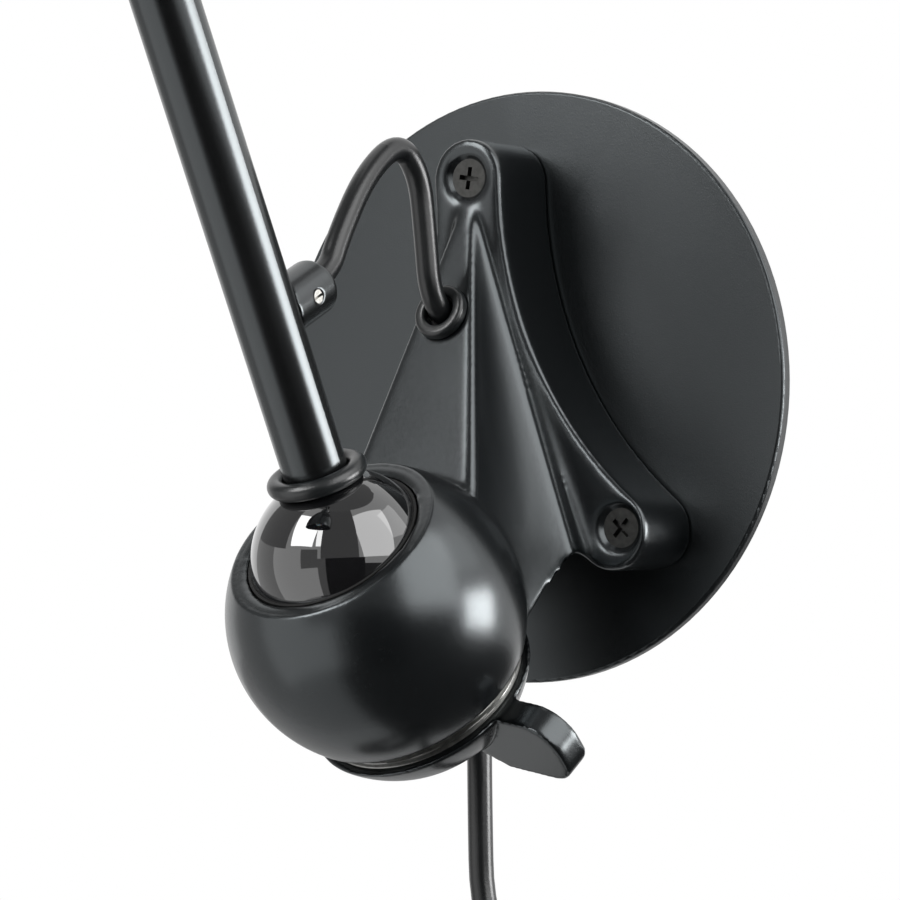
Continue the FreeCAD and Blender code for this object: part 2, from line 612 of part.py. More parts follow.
def make_head_joint():
    inner = "(tube_diameter/2 - tube_wall - running_gap)"
    pin = "(pivot_diameter/2)"
    half = "(eye_thick/2 + washer_thick)"
    cheeks = doc.addObject("Part::Cylinder", "cheek_disc")
    cheeks.Placement = Placement(Vector(0, 0, 0), Rotation(Vector(0, 1, 0), 90))
    bind(cheeks, Radius="eye_radius", Height="2 * (%s + cheek_thick)" % half,
         Placement__Base__x="-(%s + cheek_thick)" % half, Placement__Base__z="arm_length")
    neck = block("cheek_neck", ("2 * (%s + cheek_thick)" % half, "tube_diameter", "fork_shoulder"),
                 ("-(%s + cheek_thick)" % half, "-tube_diameter/2", "arm_length - fork_shoulder"))
    spigot = rod("fork_spigot", inner, "fork_plug_long + 1",
                 ("0", "0", "arm_length - fork_shoulder - fork_plug_long"))
    slot = block("fork_gap", ("2 * " + half, "4 * eye_radius", "fork_slot + 2 * eye_radius"),
                 ("-" + half, "-2 * eye_radius", "arm_length - fork_slot"))
    bolt_way = rod("bolt_way", pin + " + running_gap", "8 * eye_radius",
                   ("-4 * eye_radius", "0", "arm_length"), (1, 0, 0))
    piece(cut("fork", fused("fork_blank", cheeks, neck, spigot), slot, bolt_way),
          "arm_fork", "arm")
    outside = "(%s + cheek_thick)" % half
    head = rod("bolt_head", "nut_radius", "3.5", ("-%s - 3.5" % outside, "0", "arm_length"),
               (1, 0, 0))
    shank = rod("bolt_shank", pin, "2 * %s + knob_thick - 2" % outside,
                ("-" + outside, "0", "arm_length"), (1, 0, 0))
    piece(fused("bolt", head, shank), "pivot_bolt", "arm")
    washers = []
    for side, place in (("left", "-" + half), ("right", "eye_thick/2")):
        disc = rod("washer_disc_" + side, "eye_radius - 1", "washer_thick",
                   (place, "0", "arm_length"), (1, 0, 0))
        hole = rod("washer_hole_" + side, pin + " + running_gap", "washer_thick",
                   (place, "0", "arm_length"), (1, 0, 0))
        washers.append(cut("washer_" + side, disc, hole))
    piece(group("washers", *washers), "friction_washers", "arm")
    knob = turned("knob_blank", [
        (pin + " + running_gap", "0"), ("knob_radius - 2", "0"), ("knob_radius", "1.5"),
        ("knob_radius", "knob_thick - 2", "2"), ("knob_radius - 2", "knob_thick"),
        ("0", "knob_thick"), ("0", "knob_thick - 1.5"),
        (pin + " + running_gap", "knob_thick - 1.5")])
    flutes = []
    for k in range(int(size("knob_grooves"))):
        turn = math.radians(360 / size("knob_grooves") * k)
        flutes.append(rod("knob_flute_%d" % k, "knob_groove_radius", "knob_thick + 2",
                          ("(knob_radius + knob_groove_radius/2) * %f" % math.cos(turn),
                           "(knob_radius + knob_groove_radius/2) * %f" % math.sin(turn), "-1")))
    fluted = cut("fluted_knob", knob, *flutes)
    fluted.Placement = Placement(Vector(0, 0, 0), Rotation(Vector(0, 1, 0), 90))
    bind(fluted, Placement__Base__x=outside + " + running_gap",
         Placement__Base__z="arm_length")
    piece(group("knob", fluted), "clamp_knob", "arm")


# ---- lamp head, drawn hanging down its own axis from the pivot

def make_head():
    pin = "(pivot_diameter/2 + running_gap)"
    eye = rod("eye_disc", "eye_radius", "eye_thick", ("-eye_thick/2", "0", "0"), (1, 0, 0))
    bar = rod("stem_bar", "stem_radius", "stem_end + 3 * holder_wall",
              ("0", "0", "-stem_end - 3 * holder_wall"))
    hole = rod("eye_hole", pin, "2 * eye_thick", ("-eye_thick", "0", "0"), (1, 0, 0))
    piece(cut("eye", fused("eye_blank", eye, bar), hole), "head_stem", "head")

    shell = turned("holder", [
        ("stem_radius + running_gap", "-stem_end - 2 * holder_wall"),
        ("holder_top_radius - 1", "-stem_end - 2 * holder_wall"),
        ("holder_radius - holder_wall", "-stem_end - holder_slope - 1"),
        ("holder_radius - holder_wall", "-holder_end"), ("holder_radius", "-holder_end"),
        ("holder_radius", "-stem_end - holder_slope", "3 * holder_slope"),
        ("holder_top_radius", "-stem_end"), ("stem_radius + running_gap", "-stem_end")])
    shaft_way = rod("shaft_way", "switch_shaft_radius + running_gap", "holder_radius",
                    ("holder_radius/2", "0", "-switch_drop"), (1, 0, 0))
    piece(cut("holder_shell", shell, shaft_way), "holder_cap", "head")

    flange = "(-holder_end - socket_flange)"
    floor = "(-holder_end - socket_floor)"
    piece(turned("socket_body", [
        ("0", "-switch_drop + switch_shaft_radius"),
        ("socket_body_radius", "-switch_drop + switch_shaft_radius"),
        ("socket_body_radius", "-holder_end"), ("holder_radius", "-holder_end"),
        ("holder_radius", flange), ("socket_body_radius", flange),
        ("socket_body_radius", "-socket_body_end"), ("bulb_socket_radius", "-socket_body_end"),
        ("bulb_socket_radius", floor), ("0", floor)]), "lampholder", "head")
    contact = "(%s - contact_long)" % floor
    piece(turned("contact", [
        ("0", contact), ("contact_radius - 1", contact), ("contact_radius", floor),
        ("0", floor)]), "lamp_contact", "head")

    top = flange
    bend = "shade_curve"
    piece(turned("shade_spun", [
        ("shade_hole_radius", top), ("shade_neck_radius", top, "-" + bend),
        ("shade_mouth_radius", "-shade_mouth + shade_bead", "-shade_bead"),
        ("shade_mouth_radius + shade_bead", "-shade_mouth", "-shade_bead"),
        ("shade_mouth_radius", "-shade_mouth - shade_bead"),
        ("shade_mouth_radius - shade_wall", "-shade_mouth - shade_bead"),
        ("shade_mouth_radius - shade_wall", "-shade_mouth + shade_bead",
         "(%s - shade_wall)" % bend),
        ("shade_neck_radius - shade_wall/2", top + " - shade_wall"),
        ("shade_hole_radius", top + " - shade_wall")]), "shade", "head")
    under = "(%s - shade_wall)" % top
    piece(turned("ring_nut", [
        ("shade_hole_radius", under), ("shade_ring_radius", under),
        ("shade_ring_radius", under + " - shade_ring_thick + 1"),
        ("shade_ring_radius - 1", under + " - shade_ring_thick"),
        ("shade_hole_radius", under + " - shade_ring_thick")][::-1]), "shade_ring", "head")

    cap_end = "(%s - bulb_cap_long)" % contact
    piece(turned("bulb_base", [
        ("0", contact), ("0", cap_end), ("bulb_cap_radius", cap_end),
        ("bulb_cap_radius", contact + " - 4"), ("contact_radius", contact)]),
        "bulb_cap", "head")
    neck = "(bulb_cap_radius - 0.8)"
    middle = "(-bulb_end + bulb_radius)"
    inner = "(bulb_radius - bulb_wall)"
    piece(turned("bulb_blown", [
        ("0", "-bulb_end"), ("0", "-bulb_end + bulb_wall", inner),
        (inner + " * cos(bulb_shoulder)", "%s + %s * sin(bulb_shoulder)" % (middle, inner)),
        (neck + " - bulb_wall", cap_end + " - 4"), (neck + " - bulb_wall", cap_end),
        (neck, cap_end), (neck, cap_end + " - 4"),
        ("bulb_radius * cos(bulb_shoulder)", middle + " + bulb_radius * sin(bulb_shoulder)",
         "-bulb_radius")]), "bulb_glass", "head")

    shaft = rod("shaft", "switch_shaft_radius", "switch_knob_long",
                ("socket_body_radius + soft_gap", "0", "-switch_drop"), (1, 0, 0))
    face = "(holder_radius + bush_thick + soft_gap)"
    knob = turned("switch_blank", [
        ("0", "0"), ("switch_knob_radius", "0"),
        ("switch_knob_radius", "switch_knob_long - 1", "1"),
        ("switch_knob_radius - 1", "switch_knob_long"), ("0", "switch_knob_long")])
    knob.Placement = Placement(Vector(0, 0, 0), Rotation(Vector(0, 1, 0), 90))
    bind(knob, Placement__Base__x=face, Placement__Base__z="-switch_drop")
    flats = [block("switch_flat_%s" % side, ("switch_knob_long", "switch_knob_radius",
                                             "2 * switch_knob_radius"),
                   (face + " + switch_knob_long/3", place, "-switch_drop - switch_knob_radius"))
             for side, place in (("back", "1.2"), ("front", "-1.2 - switch_knob_radius"))]
    piece(fused("switch", shaft, cut("switch_grip", knob, *flats)), "switch_knob", "head")
    nut = rod("bush_disc", "switch_knob_radius", "bush_thick",
              ("holder_radius - 0.4", "0", "-switch_drop"), (1, 0, 0))
    nut_hole = rod("bush_hole", "switch_shaft_radius + running_gap", "3 * bush_thick",
                   ("holder_radius - bush_thick", "0", "-switch_drop"), (1, 0, 0))
    curve = rod("bush_seat", "holder_radius", "8 * bush_thick",
                ("0", "0", "-switch_drop - 4 * bush_thick"))
    piece(cut("bush", nut, nut_hole, curve), "switch_bush", "head")


# ---- wiring and cords

def run_of(points, diameter, name):
    """Edges of a cord's middle line: straight runs joined by tangent arcs, each as large as its
    two runs allow. Prints the radii."""
    edges = []
    radii = []
    begin = points[0]
    for k in range(1, len(points) - 1):
        before = (points[k] - points[k - 1])
        after = (points[k + 1] - points[k])
        turn = before.getAngle(after)
        back = 0.45 * min(before.Length, after.Length)
        radii.append(back / math.tan(turn / 2))
        before.normalize()
        after.normalize()
        a = points[k] - before * back
        b = points[k] + after * back
        inward = (after - before).normalize()
        bulge = points[k] + inward * (radii[-1] / math.cos(turn / 2) - radii[-1])
        edges.append(Part.LineSegment(begin, a).toShape())
        edges.append(Part.Arc(a, bulge, b).toShape())
        begin = b
    edges.append(Part.LineSegment(begin, points[-1]).toShape())
    print("%s bends, in diameters: %s" % (
        name, ", ".join("%.1f" % (r / diameter) for r in radii)))
    return edges


def tube_along(edges, diameter, name):
    """A round tube along joined edges, with its volume set against section times length."""
    path = Part.Wire(edges)
    first = edges[0]
    start = first.valueAt(first.FirstParameter)
    direction = first.tangentAt(first.FirstParameter)
    ring = Part.Wire([Part.makeCircle(diameter / 2, start, direction)])
    tube = path.makePipeShell([ring], True, False)
    expected = math.pi * diameter ** 2 / 4 * path.Length
    print("%s: %.1f mm long, volume %.4f of its section times its length" % (
        name, path.Length, tube.Volume / expected))
    return tube


def feature(shape, label):
    """A piece whose shape is worked out here, straight from the sizes."""
    item = doc.addObject("Part::Feature", label)
    item.Shape = shape
    return piece(item, label)


def split_run(edges, index):
    """Cut a straight edge in two at its middle: the edges up to there, and from there on."""
    line = edges[index]
    a = line.valueAt(line.FirstParameter)
    b = line.valueAt(line.LastParameter)
    middle = (a + b) * 0.5
    return (edges[:index] + [Part.LineSegment(a, middle).toShape()],
            [Part.LineSegment(middle, b).toShape()] + edges[index + 1:])


def make_wiring():
    front = "(-plate_thick - block_deep)"
    body = block("block_body", ("block_wide", "block_deep", "block_tall"),
                 ("-block_wide/2", front, "-block_bottom"))
    wells = [rod("well_%s" % side, "block_screw/2", "block_deep/2",
                 (place, front, "-block_bottom + block_tall/2"), (0, 1, 0))
             for side, place in (("left", "-block_wide/4"), ("right", "block_wide/4"))]
    piece(cut("terminals", body, *wells), "terminal_block")
    screws = []
    for side, place in (("left", "-block_wide/4"), ("right", "block_wide/4")):
        screws.append(rod("terminal_screw_" + side, "block_screw/2 - running_gap",
                          "block_deep/4",
                          (place, front + " + block_deep/4", "-block_bottom + block_tall/2"),
                          (0, 1, 0)))
    piece(group("terminal_screw_pair", *screws), "terminal_screws")

    over_cord = "(-plate_thick - cord_off_plate - cord_diameter)"
    bar = block("grip_bar", ("clamp_wide", "clamp_thick", "clamp_tall"),
                ("-clamp_wide/2", over_cord + " - clamp_thick",
                 "-clamp_drop - clamp_tall/2"))
    bar_holes = []
    posts = []
    clamp_screws = []
    for side, place in (("left", "-clamp_screw_x"), ("right", "clamp_screw_x")):
        bar_holes.append(rod("bar_hole_" + side, "clamp_screw_radius + running_gap",
                             "3 * clamp_thick", (place, over_cord + " - 2 * clamp_thick",
                                                 "-clamp_drop"), (0, 1, 0)))
        posts.append(rod("grip_post_" + side, "clamp_tall/2", "cord_off_plate + cord_diameter",
                         (place, "-plate_thick", "-clamp_drop"), (0, -1, 0)))
        shank = rod("clamp_shank_" + side, "clamp_screw_radius", "clamp_thick",
                    (place, over_cord, "-clamp_drop"), (0, -1, 0))
        knob = rod("clamp_head_" + side, "clamp_tall/2", "clamp_thick - 0.4",
                   (place, over_cord + " - clamp_thick", "-clamp_drop"), (0, -1, 0))
        clamp_screws.append(fused("clamp_screw_" + side, shank, knob))
    piece(cut("grip", bar, *bar_holes), "cord_grip")
    piece(group("grip_posts", *posts), "cord_grip_posts")
    piece(group("grip_screws", *clamp_screws), "cord_grip_screws")

    bore = "(grommet_bore/2)"
    deep = "(1.5 * casting_wall)"
    waist = "(grommet_diameter/2 - grommet_rise/2 - 2 * running_gap)"
    piece(turned("grommet", [
        (bore, "-" + deep), (waist, "-" + deep), (waist, "0"),
        ("grommet_diameter/2", "0"), ("grommet_diameter/2", "grommet_rise - 1", "1"),
        ("grommet_diameter/2 - 1", "grommet_rise"), (bore + " + 0.8", "grommet_rise", "0.8"),
        (bore, "grommet_rise - 0.8")]), "lead_grommet", "face")


def at(y, z, x=0.0):
    return Vector(x, y, z)


def make_lead():
    """The short lead that leaves the arm's collar, loops over and goes in at the grommet."""
    diameter = size("lead_diameter")
    lean = math.radians(size("arm_lean"))
    foot = at(size(ball_y), size(ball_z)) + at(-math.sin(lean), math.cos(lean)) * size(
        "collar_height")
    out = at(math.cos(lean), math.sin(lean))
    slope = math.radians(size(face_turn))
    face = at(size(face_y), size("grommet_height"))
    normal = at(-math.sin(slope), math.cos(slope))
    points = [foot + out * (size("tube_diameter") / 2 + 1.5), foot + out * 24.5,
              at(-74.5, 30.8), at(-63.5, 45.3), at(-50.3, 53.9), at(-42.6, 46.9),
              at(-41.2, 34.0), face + normal * 5.4, face - normal * 7, at(-22.5, 5.5),
              at(-size("plate_thick + block_deep"), 5.5)]
    edges = run_of(points, diameter, "lead")
    upper, rest = split_run(edges, 4)
    middle, lower = split_run(rest, 2)
    feature(tube_along(upper, diameter, "lead_upper"), "lead_upper")
    feature(tube_along(middle, diameter, "lead_middle"), "lead_middle")
    feature(tube_along(lower, diameter, "lead_lower"), "lead_lower")
    inner = rod("arm_lead_bar", "lead_diameter/2",
                "arm_length - fork_shoulder - fork_plug_long - collar_height - 2",
                ("0", "0", "collar_height + 2"))
    piece(group("arm_lead_run", inner), "arm_lead", "arm")


def coil_line(turn):
    """A point of the mains cord's put-away coil, and its direction: it winds in, crosses to the
    outer layer in half a turn, and winds out again. turn counts in turns."""
    inner = size("coil_inner")
    pitch = size("coil_pitch")
    count = size("coil_turns")
    layer = size("coil_layer")
    centre = Vector(-size("coil_aside"), 0, -size("coil_centre_drop"))

    def place(t):
        angle = math.radians(45) - 2 * math.pi * t
        if t < count:
            radius, step = inner + pitch * (count - t), 0
        elif t < count + 0.5:
            crossing = 2 * math.pi * (t - count)
            radius = inner - pitch / (2 * math.pi) * math.sin(crossing)
            step = (1 - math.cos(crossing)) / 2
        else:
            radius, step = inner + pitch * (t - count - 0.5), 1
        return centre + Vector(radius * math.cos(angle), -size("coil_off_wall") - layer * step,
                               radius * math.sin(angle))

    small = 1e-5
    ahead = place(turn + small) - place(turn - small)
    return place(turn), ahead.normalize()


def biarc(p, direction, q, end_direction):
    """Two arcs that leave p along one direction and reach q along the other."""
    chord = q - p
    both = direction + end_direction
    a = 2 * (1 - direction.dot(end_direction))
    b = 2 * chord.dot(both)
    c = -chord.dot(chord)
    reach = -c / b if abs(a) < 1e-12 else (-b + math.sqrt(b * b - 4 * a * c)) / (2 * a)
    one = p + direction * reach
    two = q - end_direction * reach
    joint = (one + two) * 0.5
    edges = []
    for start, corner, stop in ((p, one, joint), (joint, two, q)):
        middle = (start + stop) * 0.5
        half = (stop - start).Length / 2
        side = (corner - start).Length
        toward = (corner - middle)
        height = toward.Length
        bulge = half * (side - half) / height
        edges.append(Part.Arc(start, middle + toward.normalize() * bulge, stop).toShape())
    return edges


def make_mains():
    """The mains cord: down from the terminals, through the grip, out under the casting, down
    the wall, then its unseen length in a tied coil. Returns where it ends, and its direction."""
    diameter = size("cord_diameter")
    last = 2 * size("coil_turns") + 0.125
    start, direction = coil_line(0)
    in_grip = size("plate_thick + cord_off_plate + cord_diameter/2")
    corner = start - direction * (start.x / direction.x)
    points = [at(-in_grip, -size("block_bottom")), at(-in_grip, -18.5), at(-12.5, -30.5),
              at(-20.5, -43), at(-26.2, -64), at(-28.2, -92), corner,
              start - direction * diameter]
    edges = run_of(points, diameter, "mains_cord")
    feature(tube_along(edges, diameter, "mains_cord"), "mains_cord")

    stops = [0.5 * k for k in range(int(2 * last) + 1)] + [last]
    winding = [Part.LineSegment(start - direction * diameter, start).toShape()]
    for one, two in zip(stops, stops[1:]):
        p, p_way = coil_line(one)
        q, q_way = coil_line(two)
        winding += biarc(p, p_way, q, q_way)
    wound, way = coil_line(last)
    end = wound + way * size("tail_long")
    winding.append(Part.LineSegment(wound, end).toShape())
    feature(tube_along(winding, diameter, "mains_coil"), "mains_coil")
    line = []
    for edge in winding:
        span = (edge.LastParameter - edge.FirstParameter) / 12
        line += [edge.valueAt(edge.FirstParameter + span * k) for k in range(12)]
    gap = min((line[i] - line[j]).Length for i in range(len(line))
              for j in range(i + 14, len(line))) - diameter
    print("mains_coil: least gap between turns %.2f mm" % gap)
    return end, way


def make_tie():
    """A rubber band round all the coil's turns."""
    near = "(coil_inner + coil_pitch/4 - cord_diameter/2)"
    far = "(coil_inner + coil_pitch * (coil_turns - 0.75) + cord_diameter/2 + tie_gap)"
    near = "(sqrt(%s^2 - tie_wide^2/4) - tie_gap)" % near
    wall_side = "(-coil_off_wall + cord_diameter/2 + soft_gap)"
    room_side = "(-coil_off_wall - coil_layer - cord_diameter/2 - soft_gap)"
    loops = []
    for name, grow in (("band_outside", "tie_wall"), ("band_inside", "0")):
        turn = "(cord_diameter/2 + %s)" % grow
        left = "(%s - %s)" % (near, grow)
        right = "(%s + %s)" % (far, grow)
        back = "(%s + %s)" % (wall_side, grow)
        front = "(%s - %s)" % (room_side, grow)
        band = padded(name, "XY_Plane", [
            (left + " + " + turn, front), (right + " - " + turn, front, turn),
            (right, front + " + " + turn), (right, back + " - " + turn, turn),
            (right + " - " + turn, back), (left + " + " + turn, back, turn),
            (left, back + " - " + turn), (left, front + " + " + turn, turn)],
            "tie_wide", both=True)
        band.Placement = Placement(Vector(0, 0, 0), Rotation(Vector(0, -1, 0), 10))
        bind(band, Placement__Base__x="-coil_aside", Placement__Base__z="-coil_centre_drop",
             Placement__Rotation__Angle="tie_angle")
        loops.append(band)
    piece(cut("band", loops[0], loops[1]), "cord_tie")


def make_plug(end, way):
    """A moulded two-pin plug on the cord's end, drawn hanging down its own axis."""
    relief = turned("relief", [
        ("0", "0"), ("0", "-relief_long - 2"), ("relief_radius", "-relief_long - 2"),
        ("relief_radius", "-relief_long"), ("cord_diameter/2 + 1", "0")])
    top = "(-relief_long)"
    low = "(-relief_long - plug_long)"
    half = "(plug_wide/2)"
    slab = padded("plug_slab", "YZ_Plane", [
        ("-%s + 3" % half, low), ("%s - 3" % half, low, "3"), (half, low + " + 3"),
        (half, top + " - plug_long/2", "16"), ("relief_radius + 2", top),
        ("-relief_radius - 2", top, "16"), ("-" + half, top + " - plug_long/2"),
        ("-" + half, low + " + 3", "3")], "plug_thick", both=True)
    body = fused("plug_moulding", relief, slab)
    pins = []
    for side, place in (("back", "pin_spacing/2"), ("front", "-pin_spacing/2")):
        pin = rod("pin_%s" % side, "pin_radius", "pin_long - pin_radius",
                  ("0", place, low), (0, 0, -1))
        tip = doc.addObject("Part::Sphere", "pin_tip_" + side)
        bind(tip, Radius="pin_radius", Placement__Base__y=place,
             Placement__Base__z=low + " - pin_long + pin_radius")
        pins.append(fused("plug_pin_" + side, pin, tip))
    for item, label in ((body, "plug_body"), (group("pin_pair", *pins), "plug_pins")):
        item.Placement = Placement(end, Rotation(Vector(0, 0, -1), way))
        piece(item, label)


def save(path="parts"):
    os.makedirs(path, exist_ok=True)
    doc.recompute()
    for item in doc.Objects:
        if "Invalid" in item.State or "Error" in item.State:
            raise RuntimeError("%s failed: %s" % (item.Label, item.State))
    for item in parts:
        if item.Shape.isNull() or not item.Shape.isValid():
            raise RuntimeError("%s has no valid shape" % item.Label)
        print("%-18s %9.1f mm3, %d solid(s)" % (
            item.Label, item.Shape.Volume, len(item.Shape.Solids)))
    for item in parts:
        item.Shape.exportStep("%s/%s.step" % (path, item.Label))


make_wall_plate()
make_pillars()
make_bracket_screws()
make_casting()
make_seats()
make_clamp()
make_arm(make_ball())
make_head_joint()
make_head()
make_wiring()
make_lead()
coil_end = make_mains()
make_tie()
make_plug(*coil_end)
save()
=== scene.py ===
import json
import math

import bmesh
import bpy
from mathutils import Matrix, Vector

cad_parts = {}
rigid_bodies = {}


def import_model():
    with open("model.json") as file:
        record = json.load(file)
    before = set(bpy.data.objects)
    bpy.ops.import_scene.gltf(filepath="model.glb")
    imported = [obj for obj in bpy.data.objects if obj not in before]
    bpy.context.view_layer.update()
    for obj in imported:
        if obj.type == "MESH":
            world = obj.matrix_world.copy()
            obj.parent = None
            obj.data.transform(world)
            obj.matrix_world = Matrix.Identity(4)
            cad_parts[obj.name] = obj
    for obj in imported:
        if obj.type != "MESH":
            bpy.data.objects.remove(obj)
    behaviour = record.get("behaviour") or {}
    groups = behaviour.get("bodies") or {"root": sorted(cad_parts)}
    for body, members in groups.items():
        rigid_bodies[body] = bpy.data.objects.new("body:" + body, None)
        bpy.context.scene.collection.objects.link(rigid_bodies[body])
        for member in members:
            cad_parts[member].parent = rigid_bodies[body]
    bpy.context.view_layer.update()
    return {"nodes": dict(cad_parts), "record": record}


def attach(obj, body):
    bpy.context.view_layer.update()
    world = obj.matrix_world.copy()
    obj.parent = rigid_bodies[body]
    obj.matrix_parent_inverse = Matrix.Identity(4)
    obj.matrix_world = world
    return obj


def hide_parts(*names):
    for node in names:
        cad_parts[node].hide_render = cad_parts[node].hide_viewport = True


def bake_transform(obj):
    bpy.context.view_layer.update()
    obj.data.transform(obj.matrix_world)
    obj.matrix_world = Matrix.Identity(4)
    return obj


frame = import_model()
nodes = frame["nodes"]
scene = bpy.context.scene
scene.view_settings.view_transform = "Standard"
print("frame loaded:", len(nodes), "nodes")


def newObject(name, data):
    made = bpy.data.objects.new(name, data)
    scene.collection.objects.link(made)
    return made


camera = {
    "place": (0.453989, -0.700328, -0.055216),
    "right": (0.82436651, 0.56464758, -0.03991193),
    "up": (0.06075708, -0.01816089, 0.99798735),
    "back": (0.56278631, -0.82513228, -0.04927756),
    "lens": 141.88, "sensor": 36, "near": 0.01,
}


def makeCamera(c):
    made = newObject("camera", bpy.data.cameras.new("camera"))
    turn = Matrix((c["right"], c["up"], c["back"])).transposed().to_4x4()
    made.matrix_world = Matrix.Translation(c["place"]) @ turn
    made.data.lens = c["lens"]
    made.data.sensor_width = c["sensor"]
    made.data.clip_start = c["near"]
    scene.camera = made


makeCamera(camera)


# a socket that takes part in sums, and the material that its nodes are built in
class Wire:
    def __init__(self, finish, socket):
        self.finish = finish
        self.socket = socket

    def join(self, operation, first, second):
        return self.finish.add("Math", {"operation": operation}, {0: first, 1: second})

    def __add__(self, other):
        return self.join("ADD", self, other)

    def __mul__(self, other):
        return self.join("MULTIPLY", self, other)

    __radd__ = __add__
    __rmul__ = __mul__


class Finish:
    def __init__(self, name, **fixed):
        self.material = bpy.data.materials.new(name)
        self.material.use_nodes = True
        self.tree = self.material.node_tree
        self.tree.nodes.clear()
        self.shader = self.tree.nodes.new("ShaderNodeBsdfPrincipled")
        output = self.tree.nodes.new("ShaderNodeOutputMaterial")
        self.tree.links.new(self.shader.outputs[0], output.inputs["Surface"])
        for socket, value in fixed.items():
            self.give(self.shader, socket.replace("_", " "), value)
        self.place = self.add("TexCoord", output="Object")

    # a link or a value for a socket; a colour of three numbers gets its fourth
    def give(self, node, socket, value):
        entry = node.inputs[socket]
        if isinstance(value, Wire):
            self.tree.links.new(value.socket, entry)
        elif isinstance(value, tuple) and len(value) < len(entry.default_value):
            entry.default_value = (*value, 1)
        else:
            entry.default_value = value

    def add(self, kind, settings={}, inputs={}, output=0):
        node = self.tree.nodes.new("ShaderNode" + kind)
        for name, value in settings.items():
            setattr(node, name, value)
        for socket, value in inputs.items():
            self.give(node, socket, value)
        return Wire(self, node.outputs[output])

    def noise(self, scale, detail, rough=0.5):
        return self.add("TexNoise", {}, {"Vector": self.place, "Scale": scale,
                                         "Detail": detail, "Roughness": rough})

    # 6, 7 and output 2 are the Mix node's colours
    def mix(self, fac, one, two):
        return self.add("Mix", {"data_type": "RGBA"}, {0: fac, 6: one, 7: two}, output=2)

    def bump(self, height, depth):
        normal = self.add("Bump", {}, {"Height": height, "Distance": depth})
        self.give(self.shader, "Normal", normal)

    def paint(self, **varying):
        for socket, value in varying.items():
            self.give(self.shader, socket.replace("_", " "), value)
        return self.material


# what all the sprayed finishes share
spray = {"tint": (0.9, 0.97, 1.0), "peelShare": 0.7, "gritShare": 0.3}


def sprayPaint(name, look):
    f = Finish(name, Specular_IOR_Level=look["shine"], Specular_Tint=spray["tint"])
    cloud = f.noise(look["cloud"], detail=3)
    peel = f.noise(look["peel"], detail=2, rough=0.6)
    grit = f.noise(look["grit"], detail=1)
    f.bump(peel * spray["peelShare"] + grit * spray["gritShare"], look["depth"])
    return f.paint(
        Base_Color=f.mix(cloud, look["dark"], look["light"]),
        Roughness=cloud * look["spread"] + peel * look["spread"] + look["rough"])


def glossMoulding(name, look):
    f = Finish(name, Specular_IOR_Level=look["shine"], **look.get("coat", {}))
    cloud = f.noise(look["cloud"], detail=3)
    f.bump(f.noise(look["peel"], detail=1), look["depth"])
    return f.paint(Base_Color=f.mix(cloud, look["dark"], look["light"]),
                   Roughness=cloud * look["spread"] + look["rough"])


def metal(name, look):
    f = Finish(name, Metallic=1.0)
    streak = f.noise(look["streaks"], detail=3, rough=0.6)
    cloud = f.noise(look["cloud"], detail=4)
    f.bump(streak, look["depth"])
    return f.paint(
        Base_Color=f.mix(cloud, look["dark"], look["light"]),
        Roughness=streak * look["spread"] + cloud * look["spread"] + look["rough"])


def frostedGlass(name, look):
    f = Finish(name, Transmission_Weight=look["clear"], IOR=look["ior"],
               Subsurface_Weight=look["soft"], Subsurface_Scale=look["scatter"])
    cloud = f.noise(look["cloud"], detail=2)
    return f.paint(Base_Color=f.mix(cloud, look["dark"], look["light"]),
                   Roughness=cloud * look["spread"] + look["rough"])


